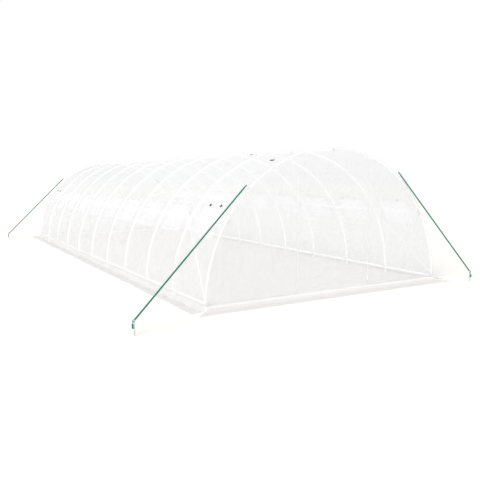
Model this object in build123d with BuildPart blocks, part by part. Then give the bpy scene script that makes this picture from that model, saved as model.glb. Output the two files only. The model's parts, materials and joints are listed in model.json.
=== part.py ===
from build123d import *
from math import asin, cos, degrees, radians, sin, sqrt
import os

# Polytunnel greenhouse: round steel hoops, tubes along and across, one film cover with skirts.
# Millimetres, +Y along the tunnel from the front end to the back, +Z up from the ground.

# Overall size
tunnel_width = 4000.0
tunnel_length = 10000.0
leg_height = 30.0
bay_count = 10

# Steel tube with plugged ends, round in the straight runs and eight-sided where it is bent
tube_diameter = 25.0
bent_sides = 8
fit = 0.3

# Lengthwise tubes and end tubes, by the height of their axes
rail_height = 75.0
side_purlin_height = 1075.0
end_rail_height = 30.0

# Corner braces: height of the foot, and how far the top ends below the side purlin
brace_foot_height = 120.0
brace_drop = 65.0

# Saddle clamps that hold a lengthwise tube under a hoop
clamp_width = 24.0
clamp_sheet = 2.0
clamp_ear = 18.0

# Film cover
film = 2.0
cover_edge_height = 62.0
panel_count = 5
seam_gap = 1.0

# Windows, one in the middle of each bay on both sides
window_length = 600.0
window_girth = 420.0
window_middle_height = 1065.0
screen_margin = 20.0
flap_margin = 35.0

# Doorway and its zipped door, one in each end
door_width = 1200.0
door_height = 1650.0
door_corner = 60.0
door_margin = 30.0

# Skirts that lie out on the ground
skirt_spread = 215.0
skirt_top_height = 96.0
skirt_bend = 60.0

# Guy ropes, their pegs and the eyes on the end hoops
rope_diameter = 12.0
loop_bore_radius = 9.0
loop_strand = 8.0
peg_diameter = 9.0
peg_height = 148.0
peg_hook_radius = 16.0
peg_hook_drop = 22.0
eye_wire = 6.0
eye_bore_radius = 13.0
shank_diameter = 8.0
eye_standoff = 50.0
washer_radius = 12.0
washer_thickness = 2.0

# Places worked out from the sizes above
hoop_radius = tunnel_width / 2 - tube_diameter / 2
inner_radius = tunnel_width / 2 - tube_diameter
tube_layer_radius = inner_radius - fit - tube_diameter / 2
film_inner_radius = tunnel_width / 2 + fit
film_outer_radius = film_inner_radius + film
half_length = tunnel_length / 2
bay = tunnel_length / bay_count
hoop_places = [-half_length + bay * i for i in range(bay_count + 1)]
end_face = half_length + tube_diameter / 2
wall_face = end_face + fit + film

# Guy ropes: name, side (-1 left, 1 right), end (-1 front, 1 back), how high round the hoop
# the rope starts in degrees, and where its peg stands beside and beyond the hoop's foot
guys = [
    ("front_left", -1, -1, 47.0, 1100.0, 530.0),
    ("front_right", 1, -1, 54.0, 390.0, 390.0),
    ("back_left", -1, 1, 49.5, 850.0, -200.0),
    ("back_right", 1, 1, 47.0, 1100.0, 530.0),
]


def guy_line(side, end, angle, beside, beyond):
    """Way out from the end hoop to the eye, centre of the eye, and middle of the hook's top."""
    outward = Vector(side * cos(radians(angle)), 0, sin(radians(angle)))
    axis = Vector(0, end * half_length, leg_height)
    eye = axis + outward * (film_outer_radius + eye_standoff)
    hook = Vector(side * (tunnel_width / 2 + beside), end * (end_face + beyond), peg_height)
    return outward, eye, hook


def finish(piece, name):
    """Label a finished piece and write it to its own file."""
    piece.part.label = name
    export_step(piece.part, f"parts/{name}.step")


def across(y):
    """Plane that cuts the tunnel across at y, with x to the right and z up."""
    return Plane(origin=(0, y, 0), x_dir=(1, 0, 0), z_dir=(0, -1, 0))


def layer_place(height):
    """X and z of a lengthwise tube whose axis is at this height under the hoops."""
    rise = height - leg_height
    return sqrt(tube_layer_radius**2 - rise**2), height


os.makedirs("parts", exist_ok=True)

# Hoops: a leg, a half circle and a leg, bent from one run of tube
for number, y in enumerate(hoop_places, start=1):
    with BuildPart() as hoop:
        with BuildLine(across(y)) as bend:
            Line((-hoop_radius, 0), (-hoop_radius, leg_height))
            ThreePointArc(
                (-hoop_radius, leg_height),
                (0, leg_height + hoop_radius),
                (hoop_radius, leg_height),
            )
            Line((hoop_radius, leg_height), (hoop_radius, 0))
        with BuildSketch(Plane(origin=(-hoop_radius, y, 0), z_dir=(0, 0, 1))):
            RegularPolygon(
                tube_diameter / 2, bent_sides, major_radius=False, rotation=180 / bent_sides
            )
        sweep(path=bend.line)
    finish(hoop, f"hoop_{number:02d}")


# Lengthwise tubes under the hoops: two base rails, two side purlins and the ridge
def lengthwise_tube(x, z):
    with BuildPart() as tube:
        with BuildSketch(across(end_face)):
            with Locations((x, z)):
                Circle(tube_diameter / 2)
        extrude(amount=2 * end_face)
    return tube


rail_x, rail_z = layer_place(rail_height)
purlin_x, purlin_z = layer_place(side_purlin_height)
ridge_z = leg_height + tube_layer_radius
finish(lengthwise_tube(-rail_x, rail_z), "base_rail_left")
finish(lengthwise_tube(rail_x, rail_z), "base_rail_right")
finish(lengthwise_tube(-purlin_x, purlin_z), "side_purlin_left")
finish(lengthwise_tube(purlin_x, purlin_z), "side_purlin_right")
finish(lengthwise_tube(0, ridge_z), "ridge_purlin")

# End rails: one tube across the foot of each end hoop, on its inner side
for name, side in (("front", -1), ("back", 1)):
    rail_y = side * (half_length - tube_diameter - fit)
    with BuildPart() as end_rail:
        with BuildSketch(Plane.YZ.offset(-hoop_radius)):
            with Locations((rail_y, end_rail_height)):
                Circle(tube_diameter / 2)
        extrude(amount=2 * hoop_radius)
    finish(end_rail, f"base_rail_{name}")


# Corner braces: from the foot of an end hoop up to the next hoop, just below the purlin
def brace(side, end):
    foot_y = end * (half_length - tube_diameter / 2 - fit)
    top_y = end * (half_length - bay + tube_diameter / 2 + fit)
    brace_top_height = side_purlin_height - brace_drop
    foot_x = sqrt(hoop_radius**2 - (brace_foot_height - leg_height) ** 2)
    top_x = sqrt(hoop_radius**2 - (brace_top_height - leg_height) ** 2)
    foot = Vector(side * foot_x, foot_y, brace_foot_height)
    top = Vector(side * top_x, top_y, brace_top_height)
    spare = tube_diameter
    run = (top - foot).normalized()
    with BuildPart() as tube:
        with BuildSketch(Plane(origin=foot - run * spare, z_dir=run)):
            Circle(tube_diameter / 2)
        extrude(amount=(top - foot).length + 2 * spare)
        split(bisect_by=Plane(origin=foot, z_dir=(0, -end, 0)), keep=Keep.TOP)
        split(bisect_by=Plane(origin=top, z_dir=(0, end, 0)), keep=Keep.TOP)
    return tube


for name, end in (("front", -1), ("back", 1)):
    left_brace = brace(-1, end)
    right_brace = brace(1, end)
    with BuildPart() as braces:
        add(left_brace.part)
        add(right_brace.part)
    finish(braces, f"corner_braces_{name}")

# Saddle clamps: a folded strap under the tube with an ear each side on the hoop
saddle_bore = tube_diameter / 2 + fit
saddle_outside = saddle_bore + clamp_sheet
saddle_fold = tube_diameter / 4
ear_reach = saddle_outside + clamp_ear
ear_level = tube_diameter / 2 + fit / 2 - ear_reach**2 / (2 * inner_radius)
clamp_angles = [
    degrees(asin((rail_height - leg_height) / tube_layer_radius)),
    degrees(asin((side_purlin_height - leg_height) / tube_layer_radius)),
    90.0,
    180 - degrees(asin((side_purlin_height - leg_height) / tube_layer_radius)),
    180 - degrees(asin((rail_height - leg_height) / tube_layer_radius)),
]
with BuildPart() as saddle:
    with BuildSketch(across(clamp_width / 2)):
        with BuildLine():
            fold = Polyline(
                (ear_reach, ear_level),
                (saddle_outside, ear_level),
                (saddle_outside, -saddle_outside + saddle_fold),
                (saddle_outside - saddle_fold, -saddle_outside),
                (-saddle_outside + saddle_fold, -saddle_outside),
                (-saddle_outside, -saddle_outside + saddle_fold),
                (-saddle_outside, ear_level),
                (-ear_reach, ear_level),
            )
            offset(amount=clamp_sheet, side=Side.LEFT, kind=Kind.INTERSECTION)
        make_face()
    extrude(amount=clamp_width)
clamp_seats = []
for y in hoop_places:
    for angle in clamp_angles:
        outward = Vector(cos(radians(angle)), 0, sin(radians(angle)))
        centre = Vector(0, y, leg_height) + outward * tube_layer_radius
        clamp_seats.append(Plane(origin=centre, x_dir=(outward.Z, 0, -outward.X), z_dir=outward))
with BuildPart() as clamps:
    with Locations(*clamp_seats):
        add(saddle.part)
finish(clamps, "saddle_clamps")


# Cover: film panels over the hoops, each as long as two bays, with the window openings cut
def arch_section(inner, low_height):
    """Section of the film over the hoops, from one low edge round to the other."""
    outer = inner + film
    with Locations((0, leg_height)):
        Circle(outer)
        Circle(inner, mode=Mode.SUBTRACT)
    with Locations((0, low_height - outer)):
        Rectangle(3 * outer, 2 * outer, mode=Mode.SUBTRACT)


window_angle = degrees(asin((window_middle_height - leg_height) / film_outer_radius))
bay_middles = [y + bay / 2 for y in hoop_places[:-1]]
panel_length = (2 * end_face - seam_gap * (panel_count - 1)) / panel_count
for number in range(panel_count):
    low_y = -end_face + number * (panel_length + seam_gap)
    high_y = low_y + panel_length
    with BuildPart() as panel:
        with BuildSketch(across(high_y)):
            arch_section(film_inner_radius, cover_edge_height)
        extrude(amount=panel_length)
        for middle in bay_middles:
            if low_y < middle < high_y:
                for angle in (window_angle, 180 - window_angle):
                    outward = Vector(cos(radians(angle)), 0, sin(radians(angle)))
                    centre = Vector(0, middle, leg_height) + outward * film_outer_radius
                    with BuildSketch(Plane(origin=centre, x_dir=(0, 1, 0), z_dir=outward)):
                        Rectangle(window_length, window_girth)
                    extrude(amount=window_girth / 2, both=True, mode=Mode.SUBTRACT)
        for guy, side, end, angle, beside, beyond in guys:
            outward, eye, hook = guy_line(side, end, angle, beside, beyond)
            if low_y < eye.Y < high_y:
                with BuildSketch(Plane(origin=eye, z_dir=outward)):
                    Circle(shank_diameter / 2 + fit)
                extrude(amount=-2 * eye_standoff, mode=Mode.SUBTRACT)
    finish(panel, f"cover_panel_{number + 1}")


# Window screens inside the film and window flaps outside it, curved as the film is
def window_patches(side, inner, sheet, length, girth):
    half_turn = degrees(girth / 2 / film_outer_radius)
    with BuildPart() as patches:
        for middle in bay_middles:
            middle_angle = window_angle if side > 0 else 180 - window_angle
            low_turn = middle_angle - half_turn
            with BuildSketch(across(middle + length / 2)):
                with BuildLine():
                    lower = CenterArc((0, leg_height), inner, low_turn, 2 * half_turn)
                    upper = CenterArc((0, leg_height), inner + sheet, low_turn, 2 * half_turn)
                    Line(lower @ 0, upper @ 0)
                    Line(lower @ 1, upper @ 1)
                make_face()
            extrude(amount=length)
    return patches


for name, side in (("left", -1), ("right", 1)):
    screens = window_patches(
        side,
        film_inner_radius - fit - film,
        film,
        window_length + 2 * screen_margin,
        window_girth + 2 * screen_margin,
    )
    finish(screens, f"window_screens_{name}")
    flaps = window_patches(
        side,
        film_outer_radius + fit,
        film,
        window_length + 2 * flap_margin,
        window_girth + 2 * flap_margin,
    )
    finish(flaps, f"window_flaps_{name}")

# End walls with the doorway cut, and the zipped doors that close them
for name, end in (("front", -1), ("back", 1)):
    inner_y = end * (end_face + fit)
    with BuildPart() as end_wall:
        with BuildSketch(across(inner_y)):
            with Locations((0, leg_height)):
                Circle(film_outer_radius)
            with Locations((0, cover_edge_height - film_outer_radius)):
                Rectangle(3 * film_outer_radius, 2 * film_outer_radius, mode=Mode.SUBTRACT)
            with Locations((0, door_height / 2)):
                RectangleRounded(door_width, door_height, door_corner, mode=Mode.SUBTRACT)
        extrude(amount=-end * film)
    finish(end_wall, f"end_wall_{name}")
    with BuildPart() as door:
        door_foot = skirt_top_height + fit
        door_head = door_height + door_margin
        with BuildSketch(across(end * (wall_face + fit))):
            with Locations((0, (door_foot + door_head) / 2)):
                RectangleRounded(
                    door_width + 2 * door_margin, door_head - door_foot, door_corner
                )
        extrude(amount=-end * film)
    finish(door, f"door_{name}")


# Skirts: strips of film lapped on the outside of the cover, bent out to lie on the ground
def skirt(lap_plane, length):
    """Skirt whose profile starts at the lap, in a plane whose x runs outwards from it."""
    with BuildPart() as strip:
        with BuildSketch(lap_plane):
            with BuildLine():
                FilletPolyline(
                    (0, skirt_top_height),
                    (0, skirt_bend),
                    (skirt_bend, 0),
                    (skirt_spread, 0),
                    radius=skirt_bend / 3,
                )
                offset(amount=film, side=Side.LEFT)
            make_face()
        extrude(amount=length)
    return strip


side_lap = film_outer_radius + fit
end_lap = wall_face + fit
for name, side in (("left", -1), ("right", 1)):
    lap = Plane(origin=(side * side_lap, side * end_face, 0), x_dir=(side, 0, 0), z_dir=(0, -side, 0))
    finish(skirt(lap, 2 * end_face), f"skirt_{name}")
for name, end in (("front", -1), ("back", 1)):
    lap = Plane(origin=(-end * side_lap, end * end_lap, 0), x_dir=(0, end, 0), z_dir=(end, 0, 0))
    finish(skirt(lap, 2 * side_lap), f"skirt_{name}")


# Guy ropes: a taut run with a spliced loop at each end, one linked through the eye on the
# end hoop and the other under the hook of the peg
bent_corner = 1 / cos(radians(180 / bent_sides))
strand_reach = sqrt((eye_bore_radius - fit) ** 2 - (loop_strand / 2) ** 2)
eye_to_loop = strand_reach + sqrt(loop_bore_radius**2 - (eye_wire / 2) ** 2)
hook_sag = peg_hook_radius - sqrt(peg_hook_radius**2 - (loop_strand / 2) ** 2)
hook_to_loop = loop_bore_radius - peg_diameter / 2 * bent_corner - hook_sag - fit
for guy, side, end, angle, beside, beyond in guys:
    outward, eye, hook = guy_line(side, end, angle, beside, beyond)
    run = (hook - eye).normalized()
    level = Vector(run.X, run.Y, 0).normalized()
    hook_way = Vector(-level.Y, level.X, 0)
    ring_axis = outward.cross(run).normalized()
    upper_loop = eye + run * eye_to_loop
    lower_loop = hook - run * hook_to_loop
    upper_end = upper_loop + run * (loop_bore_radius + loop_strand / 2)
    lower_end = lower_loop - run * (loop_bore_radius + loop_strand / 2)
    with BuildPart() as rope:
        with BuildSketch(Plane(origin=upper_end, z_dir=run)):
            Circle(rope_diameter / 2)
        extrude(amount=(lower_end - upper_end).length)
        for centre, axis in ((upper_loop, ring_axis.cross(run)), (lower_loop, hook_way)):
            with BuildSketch(Plane(origin=centre, z_dir=axis)):
                Circle(loop_bore_radius + loop_strand)
                Circle(loop_bore_radius, mode=Mode.SUBTRACT)
            extrude(amount=loop_strand / 2, both=True)
    finish(rope, f"guy_rope_{guy}")

# Guy eyes: a ring and washer on a shank that passes through the cover to the end hoop
with BuildPart() as eyes:
    for guy, side, end, angle, beside, beyond in guys:
        outward, eye, hook = guy_line(side, end, angle, beside, beyond)
        shank_foot = eye - outward * (eye_standoff + film)
        washer_seat = eye - outward * (eye_standoff - fit)
        with BuildSketch(Plane(origin=eye, z_dir=outward.cross((hook - eye).normalized()))):
            Circle(eye_bore_radius + eye_wire)
            Circle(eye_bore_radius, mode=Mode.SUBTRACT)
        extrude(amount=eye_wire / 2, both=True)
        with BuildSketch(Plane(origin=shank_foot, z_dir=outward)):
            Circle(shank_diameter / 2)
        extrude(amount=(eye - shank_foot).length - eye_bore_radius - eye_wire / 2)
        with BuildSketch(Plane(origin=washer_seat, z_dir=outward)):
            Circle(washer_radius)
        extrude(amount=washer_thickness)
finish(eyes, "guy_eyes")

# Ground pegs: a rod bent over at the top into a hook for the rope's loop
with BuildPart() as pegs:
    for guy, side, end, angle, beside, beyond in guys:
        outward, eye, hook = guy_line(side, end, angle, beside, beyond)
        level = Vector(eye.X - hook.X, eye.Y - hook.Y, 0).normalized()
        hook_plane = Plane(
            origin=(hook.X, hook.Y, 0), x_dir=(-level.Y, level.X, 0), z_dir=level
        )
        shoulder = peg_height - peg_hook_radius
        with BuildLine(hook_plane) as rod:
            Line((-peg_hook_radius, 0), (-peg_hook_radius, shoulder))
            ThreePointArc(
                (-peg_hook_radius, shoulder), (0, peg_height), (peg_hook_radius, shoulder)
            )
            Line((peg_hook_radius, shoulder), (peg_hook_radius, shoulder - peg_hook_drop))
        foot = hook_plane.from_local_coords((-peg_hook_radius, 0, 0))
        with BuildSketch(Plane(origin=foot, x_dir=hook_plane.x_dir, z_dir=(0, 0, 1))):
            RegularPolygon(
                peg_diameter / 2, bent_sides, major_radius=False, rotation=180 / bent_sides
            )
        sweep(path=rod.line)
finish(pegs, "ground_pegs")
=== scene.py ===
# %% [markdown]
# # A polytunnel greenhouse, made piece by piece
# A polytunnel is a row of round steel hoops with one skin of film pulled over them. The frame
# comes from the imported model, in metres, with +Y along the tunnel and +Z up. Each cell makes
# one kind of piece and prints what it made. Soft things (film, mesh, rope) are modelled anew
# here, and stiff ones either keep the frame's own shape or get a rounder, finer one.

# %% Load the frame
import json
import math

import bmesh
import bpy
import numpy as np
from mathutils import Matrix, Vector

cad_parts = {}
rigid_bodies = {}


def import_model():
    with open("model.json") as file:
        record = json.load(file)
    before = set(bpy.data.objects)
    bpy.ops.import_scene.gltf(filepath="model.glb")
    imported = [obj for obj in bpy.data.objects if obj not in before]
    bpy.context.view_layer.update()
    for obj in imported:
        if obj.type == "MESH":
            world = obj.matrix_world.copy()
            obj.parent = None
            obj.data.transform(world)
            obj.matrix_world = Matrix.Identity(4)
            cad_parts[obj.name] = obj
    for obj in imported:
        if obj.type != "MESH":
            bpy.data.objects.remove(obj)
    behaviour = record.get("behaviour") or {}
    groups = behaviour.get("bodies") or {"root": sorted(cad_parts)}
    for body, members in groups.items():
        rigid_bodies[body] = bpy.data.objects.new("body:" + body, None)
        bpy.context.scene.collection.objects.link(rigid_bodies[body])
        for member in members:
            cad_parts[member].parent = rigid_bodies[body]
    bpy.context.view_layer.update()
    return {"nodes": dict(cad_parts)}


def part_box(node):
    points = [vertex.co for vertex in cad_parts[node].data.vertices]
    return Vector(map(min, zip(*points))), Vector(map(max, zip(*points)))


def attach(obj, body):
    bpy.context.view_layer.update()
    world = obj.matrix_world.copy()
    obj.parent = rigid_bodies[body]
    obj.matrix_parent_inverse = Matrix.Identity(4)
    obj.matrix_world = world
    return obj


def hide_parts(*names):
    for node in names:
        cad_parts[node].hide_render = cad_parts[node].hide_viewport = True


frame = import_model()
scene = bpy.context.scene
print("CAD nodes:", len(frame["nodes"]))

# %% [markdown]
# The sizes that everything else follows are read off the frame, so that a piece always goes
# where the frame has it: the radius of the hoops over the tube, the height of the centre of
# their half circle, the thickness of the tube and where each hoop stands along the tunnel.

# %% Sizes read from the frame
hoop_nodes = sorted(name for name in frame["nodes"] if name.startswith("hoop_"))
hoop_low, hoop_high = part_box(hoop_nodes[0])
skin_radius = hoop_high.x
centre_height = hoop_high.z - skin_radius
tube_radius = (hoop_high.y - hoop_low.y) / 2
hoop_places = [sum(corner.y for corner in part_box(name)) / 2 for name in hoop_nodes]
bay = hoop_places[1] - hoop_places[0]
bay_middles = [place + bay / 2 for place in hoop_places[:-1]]
end_face = hoop_places[-1] + tube_radius
wall_place = sum(corner.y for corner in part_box("end_wall_back")) / 2
film_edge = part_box("cover_panel_1")[0].z
sides, ends = ((-1, "left"), (1, "right")), ((-1, "front"), (1, "back"))
print(f"hoops {skin_radius:.3f} m in radius, {bay:.2f} m apart, tube {2000 * tube_radius:.0f} mm")

# %% [markdown]
# ## Camera
# The picture is square, so one focal length does for both ways. The camera stands low and
# well back from the front left corner, and looks along the tunnel and slightly down.

# %% Camera
camera = bpy.data.objects.new("camera", bpy.data.cameras.new("camera"))
camera.data.lens = 42.195
camera.data.sensor_width = 36.0
camera.data.clip_end = 400.0
turn_right, tip_down, roll = (math.radians(a) for a in (30.23, 6.54, -0.255))
camera.matrix_world = (
    Matrix.Translation((-5.017, -11.038, 1.648))
    @ Matrix.Rotation(-turn_right, 4, "Z")
    @ Matrix.Rotation(math.pi / 2 - tip_down, 4, "X")
    @ Matrix.Rotation(roll, 4, "Z")
)
scene.collection.objects.link(camera)
scene.camera = camera
scene.view_settings.view_transform = "Standard"
print("camera at", tuple(round(v, 2) for v in camera.location))

# %% [markdown]
# ## Helpers for node trees
# Materials, the world and Geometry Nodes are all built from nodes. `put` adds a node, sets what
# it is told and fills its inputs, by name or in order. A kind in capitals is what a maths node
# does, and an input that is given a node is linked to that node's first output. `linear` turns a
# hex colour, as a paint chart gives it, into the linear numbers that a shader wants.

# %% Helpers for nodes and colours
def linear(hex_code):
    """A colour written in sRGB hex, as linear red, green and blue with full alpha."""
    parts = [int(hex_code[i:i + 2], 16) / 255 for i in (1, 3, 5)]
    return (*(p / 12.92 if p <= 0.04045 else ((p + 0.055) / 1.055) ** 2.4 for p in parts), 1.0)


def put(tree, kind, inputs=(), **settings):
    """Add a node to a tree, with its settings, its input values and its links."""
    if kind.isupper():
        kind, settings["operation"] = "ShaderNodeMath", kind
    new = tree.nodes.new(kind)
    for name, value in settings.items():
        setattr(new, name, value)
    by_socket = inputs if isinstance(inputs, dict) else dict(enumerate(inputs))
    for socket, value in by_socket.items():
        if isinstance(value, bpy.types.Node):
            value = value.outputs[0]
        if isinstance(value, bpy.types.NodeSocket):
            tree.links.new(value, new.inputs[socket])
        else:
            new.inputs[socket].default_value = value
    return new


def emptied(owner):
    """The node tree of a new material or world, with nothing in it."""
    owner.use_nodes = True
    owner.node_tree.nodes.clear()
    return owner.node_tree


# %% [markdown]
# ## Stage and light
# The object stands on a plain pale floor under a plain white sky. To the camera, and to glossy
# and clear surfaces, the sky is pure white. The floor is a plain matt card that the lamps bring
# just up to white, so it still takes the soft shade under the film. Four broad lamps do the
# rest: one from the left gives the creases their shape, and three weak ones fill the other sides.

# %% World, floor and lamps
world = bpy.data.worlds.new("studio")
sky = emptied(world)
ray = put(sky, "ShaderNodeLightPath")
seen = put(sky, "MAXIMUM", [ray.outputs["Is Camera Ray"], ray.outputs["Is Glossy Ray"]])
seen = put(sky, "MAXIMUM", [seen, ray.outputs["Is Transmission Ray"]])
soft = put(sky, "ShaderNodeBackground", {"Color": linear("#FFFFFF"), "Strength": 0.75})
white = put(sky, "ShaderNodeBackground", {"Color": linear("#FFFFFF"), "Strength": 1.0})
put(sky, "ShaderNodeOutputWorld", [put(sky, "ShaderNodeMixShader", [seen, soft, white])])
scene.world = world

ground = bpy.data.materials.new("studio floor card")
card = emptied(ground)
ray = put(card, "ShaderNodeLightPath")
bounce = put(card, "ShaderNodeBsdfDiffuse", {"Color": linear("#E9E9E9")})
lit = put(card, "ShaderNodeBsdfDiffuse", {"Color": linear("#E8E6E3")})
both = put(card, "ShaderNodeMixShader", [ray.outputs["Is Camera Ray"], bounce, lit])
put(card, "ShaderNodeOutputMaterial", [both])

bpy.ops.mesh.primitive_circle_add(vertices=96, radius=90, fill_type="NGON",
                                  location=(0, 0, -0.0005))
floor = bpy.context.object
floor.name = "floor"
floor.data.materials.append(ground)


def sun(name, direction, strength, softness):
    """A far lamp that shines along a direction, with a broad, soft disc."""
    lamp = bpy.data.objects.new(name, bpy.data.lights.new(name, "SUN"))
    lamp.data.energy = strength
    lamp.data.angle = math.radians(softness)
    lamp.rotation_euler = Vector(direction).to_track_quat("-Z", "Y").to_euler()
    scene.collection.objects.link(lamp)


sun("left lamp", (0.78, 0.35, -0.55), 1.78, 40)
sun("top lamp", (0.25, 0.10, -1.00), 0.55, 60)
sun("right lamp", (-0.85, 0.10, -0.42), 0.28, 50)
sun("front fill", (0.10, 0.90, -0.35), 0.42, 60)
print("stage and lamps made")

# %% [markdown]
# ## Film
# The skin is woven polyethylene: tapes of white plastic woven with gaps and laminated between
# two milky films. Part of the light goes straight through, part is scattered to both sides. So
# the surface is a mix of clear and milky, and the milky part is itself half reflecting and half
# translucent. The threads of the scrim stand closer than the picture can show (about 4 mm), so
# they are drawn 24 mm apart. Each sheet has a UV map in metres, so the weave follows the film.

# %% Film material
scrim_pitch = 0.024


def threads(tree, uv, pitch, core, edge):
    """1 on threads that run both ways and 0 between, fading from core to edge of the pitch."""
    flat = put(tree, "ShaderNodeSeparateXYZ", [uv])
    lines = []
    for way in (0, 1):
        near = put(tree, "PINGPONG", [flat.outputs[way], pitch / 2])
        lines.append(put(tree, "ShaderNodeMapRange", {
            "Value": near, "From Min": pitch * core, "From Max": pitch * edge,
            "To Min": 1.0, "To Max": 0.0}))
    return put(tree, "MAXIMUM", lines)


def film_material(name, colour, opacity, thread=0.02, crinkle=0.2, passes=0.45):
    """Woven film: its colour, how much of it is milky, how much more at a thread, and how much
    of the milky light passes on instead of coming back."""
    material = bpy.data.materials.new(name)
    tree = emptied(material)
    uv = put(tree, "ShaderNodeUVMap", uv_map="UVMap")
    weave = threads(tree, uv, scrim_pitch, 0.04, 0.16)
    cloud = put(tree, "ShaderNodeTexNoise", {"Vector": uv, "Scale": 2.3, "Detail": 4.0,
                                             "Roughness": 0.6})
    milk = put(tree, "ShaderNodeMapRange", {
        "Value": cloud, "From Min": 0.3, "From Max": 0.7,
        "To Min": opacity - 0.04, "To Max": opacity + 0.04})
    cover = put(tree, "MULTIPLY_ADD", [weave, thread, milk], use_clamp=True)
    fine = put(tree, "ShaderNodeTexNoise", {"Vector": uv, "Scale": 17.0, "Detail": 3.0})
    height = put(tree, "MULTIPLY_ADD", [weave, 0.03, fine])
    bump = put(tree, "ShaderNodeBump", {"Strength": crinkle, "Distance": 0.01, "Height": height})
    tone = put(tree, "ShaderNodeMix", {"Factor": cloud, 6: linear(colour[0]),
                                       7: linear(colour[1])}, data_type="RGBA").outputs[2]
    shiny = put(tree, "ShaderNodeBsdfPrincipled", {"Base Color": tone, "Roughness": 0.32,
                                                   "IOR": 1.5, "Normal": bump})
    through = put(tree, "ShaderNodeBsdfTranslucent", {"Color": tone, "Normal": bump})
    milky = put(tree, "ShaderNodeMixShader", [passes, shiny, through])
    clear = put(tree, "ShaderNodeBsdfTransparent", {"Color": (0.9, 0.9, 0.9, 1)})
    skin = put(tree, "ShaderNodeMixShader", [cover, clear, milky])
    put(tree, "ShaderNodeOutputMaterial", [skin])
    return material


cover_film = film_material("woven polyethylene film", ("#F4F4F4", "#EEEEEF"), 0.48)
end_film = film_material("woven polyethylene film of the ends", ("#F8F8F8", "#F2F2F3"), 0.44)
skirt_film = film_material("woven polyethylene film of the skirts", ("#F4F3F2", "#E9E8E7"), 0.68,
                           thread=0.03, passes=0.5)
flap_film = film_material("double film of the window flaps", ("#FCFCFC", "#F5F5F6"), 0.60,
                          crinkle=0.4, passes=0.8)
tape_film = film_material("welded film tape", ("#F8F8F8", "#F3F3F4"), 0.56, crinkle=0.1,
                          passes=0.6)
print("film materials made")

# %% [markdown]
# ## Steel, mesh, rope and plastic
# The frame is steel tube with a white powder coat: a thin hard paint with a faint ripple. The
# tubes also carry a little emission, which is painted light: it makes them glow whiter than the
# milky film round them, though they are no lamp.
# Clamps, eyes and pegs are zinc plated, which shows soft grey clouds. The guy ropes are twisted
# polypropylene, bottle green, with fibres that run along each strand.

# %% Stiff and fibrous materials
def plain_material(name, dark, light, scale, bump, painted_glow=0.0, **sockets):
    """A finish whose colour and height vary together, by a noise in object coordinates."""
    material = bpy.data.materials.new(name)
    tree = emptied(material)
    place = put(tree, "ShaderNodeTexCoord")
    grain = put(tree, "ShaderNodeTexNoise", {"Vector": place.outputs["Object"], "Scale": scale,
                                             "Detail": 4.0, "Roughness": 0.55})
    tone = put(tree, "ShaderNodeMix", {"Factor": grain, 6: linear(dark), 7: linear(light)},
               data_type="RGBA")
    ripple = put(tree, "ShaderNodeBump", {"Strength": bump, "Distance": 0.0005, "Height": grain})
    # painted_glow is painted light: an even white emission that makes the surface glow, though it
    # is no lamp.
    surface = put(tree, "ShaderNodeBsdfPrincipled", {
        "Base Color": tone.outputs[2], "Normal": ripple, "Emission Color": (1, 1, 1, 1),
        "Emission Strength": painted_glow, **sockets})
    put(tree, "ShaderNodeOutputMaterial", [surface])
    return material


# Painted light: the emission makes the hoops and base rails glow whiter than the film round them.
white_steel = plain_material("powder coated steel tube", "#FAFAFA", "#FEFEFD", 60, 0.15,
                             painted_glow=0.18, Roughness=0.36, IOR=1.5)
# Painted light: the emission makes the purlins glow whiter than the film round them.
purlin_steel = plain_material("powder coated steel purlin", "#F2F2F2", "#F8F8F8", 60, 0.15,
                              painted_glow=0.12, Roughness=0.4, IOR=1.5)
brace_steel = plain_material("painted steel brace", "#F0F0F0", "#F6F6F6", 60, 0.15,
                             Roughness=0.4, IOR=1.5)
zinc = plain_material("bright zinc plated steel", "#D5D8DA", "#EEF0F1", 140, 0.2,
                      Metallic=1.0, Roughness=0.38)
dull_zinc = plain_material("weathered zinc plated steel", "#9A9EA1", "#C6CACC", 140, 0.3,
                           Metallic=1.0, Roughness=0.45)
rope_green = plain_material("twisted polypropylene rope", "#0E5D48", "#24846A", 900, 0.6,
                            Roughness=0.62, IOR=1.49)
black_plastic = plain_material("moulded black plastic", "#101112", "#26282A", 300, 0.15,
                               Roughness=0.45, IOR=1.5)
zip_plastic = plain_material("clear nylon zip", "#EBEBEB", "#F3F3F3", 400, 0.1,
                             Roughness=0.3, IOR=1.48)
print("stiff materials made")

# %% [markdown]
# The window screens are insect netting. Its real holes are about 1 mm, far too fine to show, so
# the threads are drawn 9 mm apart and the light they let through is kept about the same.

# %% Netting material
netting_pitch, thread_colour = 0.009, linear("#FAFAFA")
netting = bpy.data.materials.new("white insect netting")
tree = emptied(netting)
net = threads(tree, put(tree, "ShaderNodeUVMap", uv_map="UVMap"), netting_pitch, 0.075, 0.15)
bump = put(tree, "ShaderNodeBump", {"Strength": 0.4, "Distance": 0.001, "Height": net})
matt = put(tree, "ShaderNodeBsdfPrincipled", {"Base Color": thread_colour, "Roughness": 0.6,
                                              "Normal": bump})
through = put(tree, "ShaderNodeBsdfTranslucent", {"Color": thread_colour})
thread = put(tree, "ShaderNodeMixShader", [0.4, matt, through])
clear = put(tree, "ShaderNodeBsdfTransparent")
put(tree, "ShaderNodeOutputMaterial", [put(tree, "ShaderNodeMixShader", [net, clear, thread])])
print("netting made")

# %% [markdown]
# ## Helpers for pieces
# A finished piece rides on the frame's only body and stands for the CAD nodes that it replaces.

# %% Helpers for pieces
def done(piece, slot_name, *nodes):
    """Put a finished piece on the frame in place of the CAD nodes named; slot_name is not used."""
    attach(piece, "root")
    if nodes:
        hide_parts(*nodes)


def as_piece(name, mesh, material):
    """A mesh with its material, as an object in the scene."""
    mesh.materials.clear()
    mesh.materials.append(material)
    piece = bpy.data.objects.new(name, mesh)
    scene.collection.objects.link(piece)
    return piece


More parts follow.
